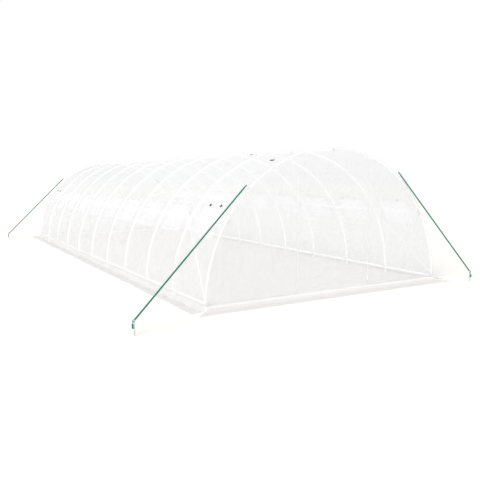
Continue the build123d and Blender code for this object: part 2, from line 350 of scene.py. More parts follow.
def mesh_piece(name, points, faces, material, uv=None, smooth=True):
    """A new mesh object from points, faces and a UV pair for each point."""
    mesh = bpy.data.meshes.new(name)
    mesh.from_pydata([tuple(p) for p in points], [], [tuple(f) for f in faces])
    if uv is not None:
        layer = mesh.uv_layers.new(name="UVMap")
        corner = np.zeros(len(mesh.loops), int)
        mesh.loops.foreach_get("vertex_index", corner)
        layer.data.foreach_set("uv", np.asarray(uv, float)[corner].ravel())
    mesh.polygons.foreach_set("use_smooth", [smooth] * len(mesh.polygons))
    return as_piece(name, mesh, material)


def grid_faces(rows, columns, keep=None, flip=False, start=0):
    """Four-sided faces of a grid of points, without those that keep rules out."""
    at = start + np.arange(rows * columns).reshape(rows, columns)
    quads = np.stack([at[:-1, :-1], at[1:, :-1], at[1:, 1:], at[:-1, 1:]], -1)
    if flip:
        quads = quads[..., ::-1]
    return quads[keep] if keep is not None else quads.reshape(-1, 4)


def grid_piece(name, points, uv, material, keep=None, flip=False):
    """A sheet from a grid of points and the two flat measures of each, in metres."""
    return mesh_piece(name, points.reshape(-1, 3), grid_faces(*points.shape[:2], keep, flip),
                      material, np.stack(uv, -1).reshape(-1, 2))


def spaced(stops, step):
    """Numbers from the first stop to the last, through every stop, about a step apart."""
    parts = [np.linspace(a, b, max(1, round((b - a) / step)) + 1)[:-1]
             for a, b in zip(stops[:-1], stops[1:])]
    return np.append(np.concatenate(parts), stops[-1])


def crossed(rows, columns):
    """Two grids, one that changes from row to row and one from column to column."""
    return np.meshgrid(rows, columns, indexing="ij")


def arch_ways(turn):
    """Out of the round and on along it, at an angle up from the right-hand side."""
    return (Vector((math.cos(turn), 0, math.sin(turn))),
            Vector((-math.sin(turn), 0, math.cos(turn))))


print("helpers ready")

# %% [markdown]
# ## Hoops by Geometry Nodes
# Every hoop follows one rule: a short leg, a half circle and a leg. The tree lays points along
# a line, moves each one to its place on that path by its own distance along it, and sweeps a
# ring along the path. A hoop is really four bent lengths pushed into each other, so the tree
# also sweeps a slightly wider sleeve over each of three joints.

# %% Tree for a bent hoop
def new_tree(name, inputs):
    """An empty Geometry Nodes tree with its named inputs, and the outputs that bring them in."""
    tree = bpy.data.node_groups.new(name, "GeometryNodeTree")
    shape = {"Geometry": "Geometry"}
    for way, sockets in (("INPUT", shape | inputs), ("OUTPUT", shape)):
        for label, kind in sockets.items():
            tree.interface.new_socket(label, in_out=way, socket_type="NodeSocket" + kind)
    return tree, put(tree, "NodeGroupInput").outputs


def close_tree(tree, geometry, material, smooth=True):
    """End a tree: real geometry, smooth or flat faces, and its material."""
    real = put(tree, "GeometryNodeRealizeInstances", [geometry])
    shaded = put(tree, "GeometryNodeSetShadeSmooth", {0: real, 2: smooth})
    dressed = put(tree, "GeometryNodeSetMaterial", {0: shaded, 2: material})
    put(tree, "NodeGroupOutput", [dressed])
    print(tree.name, "tree has", len(tree.nodes), "nodes")


def mesh_of(thing):
    """The mesh that an object comes to once its tree or its curve has run."""
    return bpy.data.meshes.new_from_object(
        thing.evaluated_get(bpy.context.evaluated_depsgraph_get()))


def grow(name, tree, values, base=None):
    """Run a tree on a base mesh and keep the result as a plain mesh object."""
    piece = bpy.data.objects.new(name, base or bpy.data.meshes.new(name + " base"))
    scene.collection.objects.link(piece)
    modifier = piece.modifiers.new(tree.name, "NODES")
    modifier.node_group = tree
    for item in tree.interface.items_tree:
        if item.in_out == "INPUT" and item.name in values:
            modifier[item.identifier] = values[item.name]
    mesh = mesh_of(piece)
    piece.modifiers.remove(modifier)
    piece.data = mesh
    mesh.name = name
    return piece


joint_parts, sleeve_length = (0.26, 0.5, 0.74), 0.07
hoop_tree, value = new_tree("bent hoop", {
    "Radius": "Float", "Leg": "Float", "Tube": "Float", "Place": "Float", "Sleeve": "Float",
    "Material": "Material",
})
tree, radius, leg = hoop_tree, value["Radius"], value["Leg"]
half_round = put(tree, "MULTIPLY", [radius, math.pi])
whole = put(tree, "MULTIPLY_ADD", [leg, 2.0, half_round])
line = put(tree, "GeometryNodeCurvePrimitiveLine", {"Start": (0, 0, 0), "End": (0, 0, 1)})
dense = put(tree, "GeometryNodeResampleCurve", {"Curve": line, "Count": 150})
along = put(tree, "GeometryNodeSplineParameter")
walked = put(tree, "MULTIPLY", [along, whole])
bent = put(tree, "SUBTRACT", [walked, leg])
angle = put(tree, "DIVIDE", [bent, radius])
angle = put(tree, "MAXIMUM", [angle, 0.0])
angle = put(tree, "MINIMUM", [angle, math.pi])
side, rise = (put(tree, "MULTIPLY", [put(tree, wave, [angle]), radius])
              for wave in ("COSINE", "SINE"))
first_leg = put(tree, "MINIMUM", [bent, 0.0])
last_leg = put(tree, "SUBTRACT", [half_round, bent])
last_leg = put(tree, "MINIMUM", [last_leg, 0.0])
drop = put(tree, "ADD", [first_leg, last_leg])
up = put(tree, "ADD", [put(tree, "ADD", [rise, drop]), leg])
spot = put(tree, "ShaderNodeCombineXYZ", [side, value["Place"], up])
path = put(tree, "GeometryNodeSetPosition", {"Geometry": dense, "Position": spot})
wide = put(tree, "ADD", [value["Tube"], 0.0009])
ring, sleeve_ring = (put(tree, "GeometryNodeCurvePrimitiveCircle", {
    "Resolution": 14, "Radius": size}) for size in (value["Tube"], wide))
half_sleeve = put(tree, "MULTIPLY", [value["Sleeve"], 0.5])
half_sleeve = put(tree, "DIVIDE", [half_sleeve, whole])
sweeps = [(path, ring)]
for joint in joint_parts:
    start = put(tree, "SUBTRACT", [joint, half_sleeve])
    stop = put(tree, "ADD", [joint, half_sleeve])
    stretch = put(tree, "GeometryNodeTrimCurve", {"Curve": path, "Start": start, "End": stop},
                  mode="FACTOR")
    sweeps.append((stretch, sleeve_ring))
parts = put(tree, "GeometryNodeJoinGeometry")
for curve, section in sweeps:
    swept = put(tree, "GeometryNodeCurveToMesh", {"Curve": curve, "Profile Curve": section,
                                                  "Fill Caps": True})
    tree.links.new(swept.outputs[0], parts.inputs[0])
close_tree(tree, parts, value["Material"])


# %% Eleven hoops
hoop_radius = skin_radius - tube_radius
for name, place in zip(hoop_nodes, hoop_places):
    hoop = grow("steel_" + name, hoop_tree, {
        "Radius": hoop_radius, "Leg": centre_height, "Tube": tube_radius,
        "Place": place, "Sleeve": sleeve_length, "Material": white_steel,
    })
    done(hoop, "white_steel_tube", name)
print("hoops:", len(hoop_nodes), "with", len(hoop.data.polygons), "faces each")

# %% [markdown]
# The straight tubes, the braces and the folded clamps already have their true shape in the
# frame, so they stay as they are and only get their finish; on the rails and purlins that
# finish includes painted light, an emission that makes them glow.

# %% Finish of the kept nodes
kept = {
    white_steel: ["base_rail_left", "base_rail_right", "base_rail_front", "base_rail_back"],
    purlin_steel: ["side_purlin_left", "side_purlin_right", "ridge_purlin"],
    brace_steel: ["corner_braces_front", "corner_braces_back"],
    zinc: ["saddle_clamps"],
}
for material, names in kept.items():
    for name in names:
        for place in frame["nodes"][name].material_slots:
            place.material = material
print("kept nodes:", sum(len(names) for names in kept.values()))

# %% [markdown]
# ## How the film lies
# Film pulled over round hoops touches only the hoops. Between them it runs nearly straight, so
# it lies a little inside the round, and it kinks at each hoop. It also keeps creases from the
# fold of the pack: long soft ones that run round the tunnel and small crumples between them.
# A crease field is a sum of waves with seeded directions, which never repeats visibly.

# %% Shape of the film
film_gap, sag_depth = 0.0013, 0.017
film_radius = skin_radius + film_gap


def waves(u, v, u_size, v_size, seed, count=14):
    """Smooth random height over u and v, about -1 to 1, with waves of about the sizes given."""
    draw = np.random.default_rng(seed)
    total = np.zeros(np.broadcast(u, v).shape)
    for _ in range(count):
        fu = draw.normal() / u_size
        fv = draw.normal() / v_size
        total += np.cos(2 * np.pi * (u * fu + v * fv) * 0.7 + draw.uniform(0, 2 * np.pi))
    return total / math.sqrt(count)


def creased(u, v, u_size, v_size, seed):
    """Like waves, but with sharp folds where the smooth height crosses zero."""
    return 1 - 2 * np.sqrt(np.abs(waves(u, v, u_size, v_size, seed)) + 0.02)


def between_hoops(y):
    """0 at a hoop, 1 half way between two, as a fraction of the bay."""
    inside = np.clip(y, hoop_places[0], hoop_places[-1])
    part = (inside - hoop_places[0]) / bay
    part = part - np.floor(part)
    return 4 * part * (1 - part)


def film_offset(y, angle):
    """How far the film stands off its round, in metres: sag, folds round the tunnel, crumples."""
    girth = angle * film_radius
    free = between_hoops(y)
    hold = np.clip(free * 2.2, 0.08, 1)
    low = np.clip(1.25 - np.sin(np.clip(angle, 0, math.pi)), 0.35, 1)
    folds = 0.0020 * creased(y, girth, 0.22, 2.6, 11) + 0.0014 * waves(y, girth, 0.10, 1.4, 12)
    crumple = 0.0012 * waves(y, girth, 0.11, 0.12, 13)
    return -sag_depth * free + hold * low * (folds + crumple)


def round_point(y, angle, lift=0.0):
    """Points of the film at places along the tunnel and angles up from the right-hand side."""
    radius = film_radius + film_offset(y, angle) + lift
    return np.stack([
        radius * np.cos(angle), np.broadcast_to(y, radius.shape) + 0 * radius,
        centre_height + radius * np.sin(angle),
    ], -1)


print("film lies", round(sag_depth * 1000), "mm inside the round half way between hoops")

# %% [markdown]
# ## Cover
# The cover is five panels, each two bays long and as wide as the whole arch, welded together
# over a hoop. Each panel is a grid of points in the film's own coordinates, along and round.
# Grid lines run through the window edges, so the openings are cut exactly, and the UV map is the
# flat pattern in metres.

# %% Cover panels
flap_low, flap_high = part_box("window_flaps_right")
screen_margin, flap_margin = 0.02, 0.035
window_half = (flap_high.y - bay_middles[-1]) - flap_margin


def angle_at(height, radius):
    """Angle up from the side at which a round of this radius has this height."""
    return math.asin((height - centre_height) / radius)


window_middle = (angle_at(flap_low.z, film_radius) + angle_at(flap_high.z, film_radius)) / 2
window_reach = (flap_high.z - flap_low.z) / 2 / math.cos(window_middle) - flap_margin
window_turn = window_reach / film_radius
low_angle = angle_at(film_edge, film_radius)
angle_stops = [low_angle, window_middle - window_turn, window_middle + window_turn]
angle_stops += [math.pi / 2] + [math.pi - a for a in reversed(angle_stops)]
angles = spaced(angle_stops, 0.032 / film_radius)
panel_nodes = sorted(name for name in frame["nodes"] if name.startswith("cover_panel"))
for name in panel_nodes:
    low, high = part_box(name)
    middles = [m for m in bay_middles if low.y < m < high.y]
    stops = sorted({low.y, high.y, *(p for p in hoop_places if low.y < p < high.y)}
                   | {m + s * window_half for m in middles for s in (-1, 1)})
    lengths = spaced(stops, 0.028)
    mid_y = (lengths[1:] + lengths[:-1])[:, None] / 2
    mid_angle = (angles[1:] + angles[:-1])[None, :] / 2
    open_y = np.min([np.abs(mid_y - m) for m in middles], axis=0) < window_half
    from_window = np.minimum(abs(mid_angle - window_middle),
                             abs(math.pi - mid_angle - window_middle))
    y, angle = crossed(lengths, angles)
    panel = grid_piece("film_" + name, round_point(y, angle), (y - low.y, angle * film_radius),
                       cover_film, keep=~(open_y & (from_window < window_turn)))
    done(panel, "reinforced_film", name)
print("panels:", len(panel_nodes), "with", len(panel.data.polygons), "faces, window half length",
      round(window_half, 3), "half girth", round(window_reach, 3))

# %% [markdown]
# ## Tapes over the hoops
# Where the film rubs on a hoop a strip of thicker film is welded over it, which also closes the
# joint between two panels. From outside it shows as a whiter band along every hoop.

# %% Tapes over the hoops
tape_half, tape_lift = 0.016, 0.0011
for number, place in enumerate(hoop_places[1:-1], start=2):
    edges = place - tape_half, place + tape_half
    y, angle = crossed(np.linspace(*edges, 5), angles)
    tape = grid_piece(f"hoop_tape_{number:02d}", round_point(y, angle, tape_lift),
                      (y - edges[0], angle * film_radius), tape_film)
    done(tape, "reinforced_film")
print("tapes:", len(hoop_places) - 2, "of", round(2000 * tape_half), "mm")

# %% [markdown]
# ## End walls
# An end wall is a half round of film with the doorway cut out. Its edge follows the end hoop, so
# a plain square grid won't do. The wall is laid out in three fields instead: one left of the
# doorway, one right of it and one above it. In each field the grid lines run from the doorway to
# the round edge, and the fields share the points where they meet.

# %% Shape of the end walls
door_low, door_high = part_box("door_front")
door_margin = 0.012
door_half, door_top = door_high.x - door_margin, door_high.z - door_margin
rim, wall_step = film_radius, 0.035
wall_seeds, door_seeds = {-1: 40, 1: 50}, {-1: 60, 1: 70}


def wall_offset(x, z, seed):
    """How far the film of an end stands out of its plane: soft bulges, pulls and crumples."""
    from_rim = np.clip((rim - np.hypot(x, z - centre_height)) / 0.25, 0, 1)
    near_ground = np.clip((z - film_edge) / 0.2, 0, 1)
    pulls = 0.0028 * creased(x, z, 0.30, 1.3, seed) + 0.0016 * waves(x, z, 0.16, 0.5, seed + 1)
    crumple = 0.0007 * waves(x, z, 0.09, 0.08, seed + 2)
    return from_rim * (0.3 + 0.7 * near_ground) * (pulls + crumple)


def rim_height(x):
    """Height of the rim at a distance from the middle."""
    return centre_height + np.sqrt(rim**2 - x**2)


def rim_side(z):
    """Distance of the rim from the middle at a height."""
    return np.sqrt(rim**2 - (z - centre_height) ** 2)


def merged(piece, outward):
    """Join points that coincide and turn every face towards one direction."""
    work = bmesh.new()
    work.from_mesh(piece.data)
    bmesh.ops.remove_doubles(work, verts=work.verts, dist=1e-5)
    bmesh.ops.dissolve_degenerate(work, edges=work.edges, dist=1e-6)
    work.normal_update()
    wrong = [face for face in work.faces if face.normal.dot(Vector(outward)) < 0]
    bmesh.ops.reverse_faces(work, faces=wrong)
    work.to_mesh(piece.data)
    work.free()


# %% Two end walls
heights = spaced([film_edge, door_top, float(rim_height(door_half)) - 0.002], wall_step)
above = heights[heights >= door_top - 1e-6]
rise_part = (above - door_top) / (rim_height(door_half) - door_top)
widths = spaced([-door_half, door_half], wall_step)
for end, end_name in ends:
    fields = []
    for flank in (-1, 1):
        part, z = crossed(np.linspace(0, 1, 40), heights)
        fields.append((flank * (door_half + part * (rim_side(z) - door_half)), z))
    x, part = crossed(widths, rise_part)
    fields.append((x, door_top + part * (rim_height(x) - door_top)))
    starts = np.cumsum([0] + [x.size for x, z in fields])
    faces = [grid_faces(*x.shape, start=start) for (x, z), start in zip(fields, starts)]
    x, z = (np.concatenate([field[way].ravel() for field in fields]) for way in (0, 1))
    y = end * (wall_place + wall_offset(x, z, wall_seeds[end]))
    wall = mesh_piece("film_end_wall_" + end_name, np.stack([x, y, z], -1),
                      np.concatenate(faces), end_film, np.stack([x, z], -1))
    merged(wall, (0, end, 0))
    done(wall, "reinforced_film", "end_wall_" + end_name)
print("end walls:", len(wall.data.polygons), "faces, doorway", 2 * door_half, "by",
      round(door_top, 3))

# %% [markdown]
# The top of the wall is left open by two millimetres where the three fields meet the rim, which
# the rim band covers. That band is the seam where the end is sewn to the cover: a flat ring on
# the wall, as wide as the hoop behind it.

# %% Rim bands
band_width, band_lift, band_past = 0.018, 0.0012, 0.0006
for end, end_name in ends:
    turn, inward = crossed(np.linspace(low_angle, math.pi - low_angle, 200),
                           np.linspace(0, band_width, 4))
    reach = rim + band_past - inward
    points = np.stack([reach * np.cos(turn), end * (wall_place + band_lift + 0 * turn),
                       centre_height + reach * np.sin(turn)], -1)
    band = grid_piece("rim_band_" + end_name, points, (turn * rim, inward), end_film)
    merged(band, (0, end, 0))
    done(band, "reinforced_film")
print("rim bands made")

# %% [markdown]
# ## Zipped doors
# Each door is a flap of film that hangs over the doorway and closes with a zip down each side.
# It lies just outside the wall and keeps level creases from where it was rolled up.

# %% Doors
door_foot, door_lift, door_step, corner = door_low.z, 0.0062, 0.025, 0.03
door_reach, door_tip = door_half + door_margin, door_top + door_margin


def door_offset(x, z, seed):
    """How far a door stands out of its plane."""
    inner = np.clip((door_reach - abs(x)) / 0.15, 0.1, 1)
    rolled = 0.0026 * creased(x, z, 0.9, 0.17, seed) + 0.0016 * waves(x, z, 0.35, 0.5, seed + 1)
    return inner * (rolled + 0.0006 * waves(x, z, 0.07, 0.07, seed + 2))


for end, end_name in ends:
    flat_x, flat_z = crossed(spaced([-door_reach, door_reach], door_step),
                             spaced([door_foot, door_tip], door_step))
    over_x, over_z = abs(flat_x) - (door_reach - corner), flat_z - (door_tip - corner)
    spill = np.hypot(over_x, over_z)
    round_off = (over_x > 0) & (over_z > 0) & (spill > corner)
    inwards = np.where(round_off, 1 - corner / np.maximum(spill, 1e-9), 0)
    x = flat_x - np.sign(flat_x) * over_x * inwards
    z = flat_z - over_z * inwards
    y = end * (wall_place + door_lift + door_offset(x, z, door_seeds[end]))
    door = grid_piece("film_door_" + end_name, np.stack([x, y, z], -1), (flat_x, flat_z),
                      end_film)
    merged(door, (0, end, 0))
    done(door, "reinforced_film", "door_" + end_name)
print("doors:", round(2 * door_reach, 2), "by", round(door_tip - door_foot, 2), "m")

# %% [markdown]
# ## Window screens and flaps
# Behind each opening is a piece of netting, a little larger than the opening. Outside it hangs a
# flap of film with a folded hem, which is closed here. Both follow the same round and the same
# creases as the film, one just inside it and one just outside.

# %% Screens and flaps
hem, patch_step, screen_lift, flap_lift = 0.022, 0.03, -0.0024, 0.0030


def patch(name, middle, side, margin, lift, material, hem_material=None, puff=0.0):
    """A piece of film or net over one window, with a hem if it has a material for one."""
    half_y, half_turn = window_half + margin, window_turn + margin / film_radius
    edge_y, edge_turn = half_y - hem, half_turn - hem / film_radius
    ys = spaced([-half_y, -edge_y, edge_y, half_y], patch_step)
    turns = spaced([-half_turn, -edge_turn, edge_turn, half_turn], patch_step / film_radius)
    y, turn = crossed(ys, turns)
    crown = (1 - (y / half_y) ** 2) * (1 - (turn / half_turn) ** 2)
    angle = window_middle + turn if side > 0 else math.pi - window_middle - turn
    ripple = 0.0012 * waves(y + 3 * middle, turn * film_radius, 0.12, 0.2, 90)
    height = lift + puff * crown + (ripple * np.clip(crown * 3, 0.3, 1) if puff else 0)
    piece = grid_piece(name, round_point(middle + y, angle, height), (y, turn * film_radius),
                       material, flip=side < 0)
    if hem_material:
        mid_y = abs(ys[1:] + ys[:-1])[:, None] / 2
        mid_turn = abs(turns[1:] + turns[:-1])[None, :] / 2
        border = (mid_y > edge_y) | (mid_turn > edge_turn)
        piece.data.materials.append(hem_material)
        piece.data.polygons.foreach_set("material_index", border.ravel().astype(int))
    return piece, (2 * half_y, 2 * half_turn * film_radius)


for side, side_name in sides:
    for number, middle in enumerate(bay_middles, start=1):
        screen, flat = patch(f"netting_{side_name}_{number:02d}", middle, side, screen_margin,
                             screen_lift, netting)
        done(screen, "insect_mesh", "window_screens_" + side_name)
        flap, flat = patch(f"window_flap_{side_name}_{number:02d}", middle, side, flap_margin,
                           flap_lift, flap_film, tape_film, puff=0.005)
        done(flap, "reinforced_film", "window_flaps_" + side_name)
print("windows:", 2 * len(bay_middles), "flap", [round(v, 3) for v in flat])

# %% [markdown]
# ## Skirts
# The lowest strip of the cover bends outwards and lies on the ground, where soil or stones hold
# it down. Loose film on the ground never lies flat: it puckers in folds that start at the bend
# and open outwards. The long sides pucker much more than the ends. Here and there the outer
# edge is drawn in and lifted by a deeper fold, which leaves a notch in its outline.

# %% Skirts
skirt_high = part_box("skirt_right")[1]
skirt_top, spread = skirt_high.z, skirt_high.x
bend, seam, lap, on_ground = 0.06, 0.024, film_radius + 0.0022, 0.0012
skirt_out = np.concatenate([np.zeros(3), np.linspace(0, bend, 6)[1:],
                            np.linspace(bend, spread - lap, 7)[1:]])
skirt_up = np.concatenate([[skirt_top, skirt_top - seam, bend],
                           np.linspace(bend, on_ground, 6)[1:], np.full(6, on_ground)])
walked = np.concatenate([[0], np.cumsum(np.hypot(np.diff(skirt_out), np.diff(skirt_up)))])


def skirt_piece(node, start, run_way, out_way, length, loose, mitred, seed):
    """A skirt: where it starts, which way it runs and lies out, how loose and mitred it is."""
    t, row = crossed(spaced([0, length], 0.02), np.arange(len(skirt_out)))
    out = skirt_out[row]
    lies = np.clip(out / (spread - lap), 0, 1)
    free = loose * lies**0.7 * np.clip(np.minimum(t, length - t) / 0.15, 0.15, 1)
    fold = np.clip(creased(t, walked[row], 0.16, 0.7, seed)
                   + 0.35 * waves(t, out, 0.5, 1.0, seed + 1), 0, None)
    gentle = 0.5 + 0.5 * waves(t, out, 0.09, 0.12, seed + 2)
    notch = np.clip(creased(t, 0 * t, 0.55, 1.0, seed + 6) - 0.25, 0, 1)
    settled = 1 - (0.85 - notch) * lies**3
    wander = (0.6 * waves(t, out, 0.9, 2.0, seed + 3)
              + 0.5 * creased(t, out, 0.5, 3.0, seed + 5))
    push = out + free * (0.020 * wander - 0.030 * notch)
    from_middle = t - length / 2
    mitre = np.sign(from_middle) * np.clip((abs(from_middle) - length / 2 + 0.16) / 0.16, 0, 1)
    shift = 0.012 * free * waves(t, out, 0.4, 0.4, seed + 4) + mitred * mitre * out
    place = (np.array(start) + (t + shift)[..., None] * np.array(run_way)
             + push[..., None] * np.array(out_way))
    height = skirt_up[row] + free * (0.032 * fold * settled + 0.003 * gentle)
    place[..., 2] = np.maximum(height, on_ground / 2)
    piece = grid_piece("film_" + node, place, (t, walked[row]), skirt_film)
    merged(piece, (0.3 * out_way[0], 0.3 * out_way[1], 1))
    piece.data.materials.append(tape_film)
    for face in piece.data.polygons:
        face.material_index = int(face.center.z > skirt_top - seam)
    done(piece, "reinforced_film", node)
    return piece


for side, name in sides:
    skirt_piece("skirt_" + name, (side * lap, -end_face, 0), (0, 1, 0), (side, 0, 0),
                2 * end_face, 1.0, 0.3, 200 + 10 * side)
for end, name in ends:
    end_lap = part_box("skirt_" + name)[0 if end < 0 else 1].y
    skirt = skirt_piece("skirt_" + name, (-lap, end * (abs(end_lap) - (spread - lap)), 0),
                        (1, 0, 0), (0, end, 0), 2 * lap, 0.35, 0.9, 240 + 10 * end)
print("skirts: four, lying", round(spread - lap, 3), "m out;", len(skirt.data.polygons), "faces")

# %% [markdown]
# ## Guy ropes
# Each rope is three-strand polypropylene, pulled tight from an eye on an end hoop down to a
# hooked peg. The tree sweeps a three-lobed section along a straight line and turns it steadily,
# which is just what laying three strands does. The ends are spliced round a thimble loop and
# wrapped with twine. Each rope has its side and end, the angle of its eye up the hoop in
# degrees, and how far its peg stands beside the hoops and beyond the end.

# %% Where the ropes run
rope_radius, rope_lay, loop_radius, twine_radius = 0.011, 0.055, 0.00414, 0.0016
eye_standoff, eye_ring, eye_wire = 0.050, 0.016, 0.003
peg_height, peg_bow, peg_radius = 0.148, 0.016, 0.0045
guys = {
    "front_left": (-1, -1, 47.0, 1.100, 0.530),
    "front_right": (1, -1, 54.0, 0.390, 0.390),
    "back_left": (-1, 1, 49.5, 0.850, -0.200),
    "back_right": (1, 1, 47.0, 1.100, 0.530),
}


def guy_line(side, end, degrees, beside, beyond):
    """Way out from the hoop, centre of the eye, top of the hook, the way down the rope, the
    axis of the eye's ring and the way across the hook."""
    outward = arch_ways(math.radians(degrees))[0]
    outward.x *= side
    eye = Vector((0, end * hoop_places[-1], centre_height)) + outward * (
        skin_radius + 0.0023 + eye_standoff)
    hook = Vector((side * (skin_radius + beside), end * (end_face + beyond), peg_height))
    run = (hook - eye).normalized()
    return (outward, eye, hook, run, outward.cross(run).normalized(),
            Vector((-run.y, run.x, 0)).normalized())


for name, facts in guys.items():
    print(name, "rope", round((guy_line(*facts)[1] - guy_line(*facts)[2]).length, 3), "m")

# %% Tree for a laid rope
rope_tree, value = new_tree("laid rope", {
    "Start": "Vector", "End": "Vector", "Radius": "Float", "Lay": "Float", "Material": "Material",
})
tree, lay = rope_tree, value["Lay"]
line = put(tree, "GeometryNodeCurvePrimitiveLine", {"Start": value["Start"],
                                                    "End": value["End"]})
length = put(tree, "GeometryNodeCurveLength", [line])
step = put(tree, "DIVIDE", [lay, 12.0])
steps = put(tree, "DIVIDE", [length, step])
dense = put(tree, "GeometryNodeResampleCurve", {"Curve": line, "Count": steps})
along = put(tree, "GeometryNodeSplineParameter")
turns = put(tree, "DIVIDE", [along.outputs["Length"], lay])
tilt = put(tree, "MULTIPLY", [turns, 2 * math.pi])
laid = put(tree, "GeometryNodeSetCurveTilt", {"Curve": dense, "Tilt": tilt})
ring = put(tree, "GeometryNodeCurvePrimitiveCircle", {"Resolution": 18, "Radius": 1.0})
round_part = put(tree, "GeometryNodeSplineParameter")
lobe = put(tree, "MULTIPLY", [round_part, 3 * math.pi])
lobe = put(tree, "COSINE", [lobe])
lobe = put(tree, "ABSOLUTE", [lobe])
size = put(tree, "MULTIPLY_ADD", [lobe, 0.30, 0.70])
size = put(tree, "MULTIPLY", [size, value["Radius"]])
here = put(tree, "GeometryNodeInputPosition")
grown = put(tree, "ShaderNodeVectorMath", {0: here, "Scale": size}, operation="SCALE")
section = put(tree, "GeometryNodeSetPosition", {"Geometry": ring, "Position": grown})
body = put(tree, "GeometryNodeCurveToMesh", {"Curve": laid, "Profile Curve": section,
                                             "Fill Caps": True})
close_tree(tree, body, value["Material"])

# %% [markdown]
# Bent rods and loops are drawn as curves with a round bevel, which Blender turns into a clean
# tube with the right thickness everywhere.

# %% Rods along points
def rod(name, runs, radius, material, closed=False, sides=6):
    """Round rods along runs of points, all in one mesh."""
    curve = bpy.data.curves.new(name, "CURVE")
    curve.dimensions = "3D"
    curve.bevel_depth = radius
    curve.bevel_resolution = sides // 2 - 1
    curve.use_fill_caps = not closed
    for points in runs:
        spline = curve.splines.new("POLY")
        spline.points.add(len(points) - 1)
        spline.points.foreach_set("co", [v for p in points for v in (*p, 1.0)])
        spline.use_cyclic_u = closed
        spline.use_smooth = True
    holder = bpy.data.objects.new(name + " curve", curve)
    scene.collection.objects.link(holder)
    mesh = mesh_of(holder)
    bpy.data.objects.remove(holder)
    bpy.data.curves.remove(curve)
    mesh.name = name
    return as_piece(name, mesh, material)


def joined(name, pieces):
    """Several mesh objects made one, which keeps the first one's place and name."""
    for piece in scene.objects:
        piece.select_set(piece in pieces)
    bpy.context.view_layer.objects.active = pieces[0]
    bpy.ops.object.join()
    pieces[0].name = pieces[0].data.name = name
    return pieces[0]


def ring_points(centre, way, radius, turns):
    """Points round a centre, square to a way, at the angles given."""
    aside = way.orthogonal().normalized()
    other = way.cross(aside)
    return [centre + (aside * math.cos(a) + other * math.sin(a)) * radius for a in turns]


def coil(start, way, length, radius, turns, per_turn=14):
    """Points of a helix round a straight line."""
    last = int(turns * per_turn)
    return [ring_points(start + way * (length * i / last), way, radius,
                        [2 * math.pi * i / per_turn])[0] for i in range(last + 1)]


# %% Four ropes
loop_bow, neck_reach, neck_half = 0.0135, 0.034, 0.002
eye_drop, hook_rise, main_inset = 0.0205, 0.0033, 0.028
splice_start, splice_length, splice_radius, splice_turns = 0.026, 0.055, 0.0077, 18
tail_top, tail_length, tail_radius, tail_lift, tail_turns = 0.118, 0.052, 0.0036, 0.0034, 7
for name, facts in guys.items():
    outward, eye, hook, run, ring_axis, hook_way = guy_line(*facts)
    upper_loop, lower_loop = eye + run * eye_drop, hook - run * hook_rise
    main = grow("rope_main", rope_tree, {
        "Start": upper_loop + run * main_inset, "End": lower_loop - run * main_inset,
        "Radius": rope_radius, "Lay": rope_lay, "Material": rope_green,
    })
    loops, wraps = [], []
    for centre, plane_axis, towards in ((upper_loop, ring_axis.cross(run), run),
                                        (lower_loop, hook_way, -run)):
        sideways = plane_axis.cross(towards).normalized()
        neck = centre + towards * neck_reach
        teardrop = [centre + towards * (loop_bow * math.cos(a))
                    + sideways * (loop_bow * math.sin(a))
                    for a in np.radians(np.linspace(55, 305, 29))]
        loops.append([neck + sideways * neck_half, *teardrop, neck - sideways * neck_half])
        wraps.append(coil(centre + towards * splice_start, towards, splice_length,
                          splice_radius, splice_turns))
    peg_shaft = hook - hook_way * peg_bow
    peg_shaft.z = tail_top
    tail = coil(peg_shaft, Vector((0, 0, -1)), tail_length, peg_radius + tail_lift, tail_turns)
    rope = joined("rope_" + name, [
        main, rod("rope_loops", loops, loop_radius, rope_green),
        rod("rope_wraps", wraps, twine_radius, rope_green, sides=4),
        rod("rope_tail", [tail], tail_radius, rope_green)])
    done(rope, "green_rope", "guy_rope_" + name)
print("ropes:", len(guys), "with", len(rope.data.polygons), "faces each")

# %% [markdown]
# ## Eyes and pegs
# The rope's upper loop hangs in a steel eye, whose shank goes through the cover into the end
# hoop with a washer and a nut on the film. The pegs are 9 mm rod, bent over at the top.

# %% Eyes and pegs
def lathe(name, base, way, steps, material, sides=20):
    """A turned piece: steps of (distance along the way, radius) round an axis from base."""
    turns = np.linspace(0, 2 * math.pi, sides, endpoint=False)
    points = [base + way * steps[0][0]]
    for d, r in steps:
        points += ring_points(base + way * d, way, r, turns)
    points.append(base + way * steps[-1][0])
    faces = [(0, 1 + (i + 1) % sides, 1 + i) for i in range(sides)]
    for k in range(len(steps) - 1):
        at = 1 + k * sides
        faces += [(at + i, at + (i + 1) % sides, at + sides + (i + 1) % sides, at + sides + i)
                  for i in range(sides)]
    last, end = 1 + (len(steps) - 1) * sides, len(points) - 1
    faces += [(end, last + i, last + (i + 1) % sides) for i in range(sides)]
    return mesh_piece(name, points, faces, material, smooth=False)


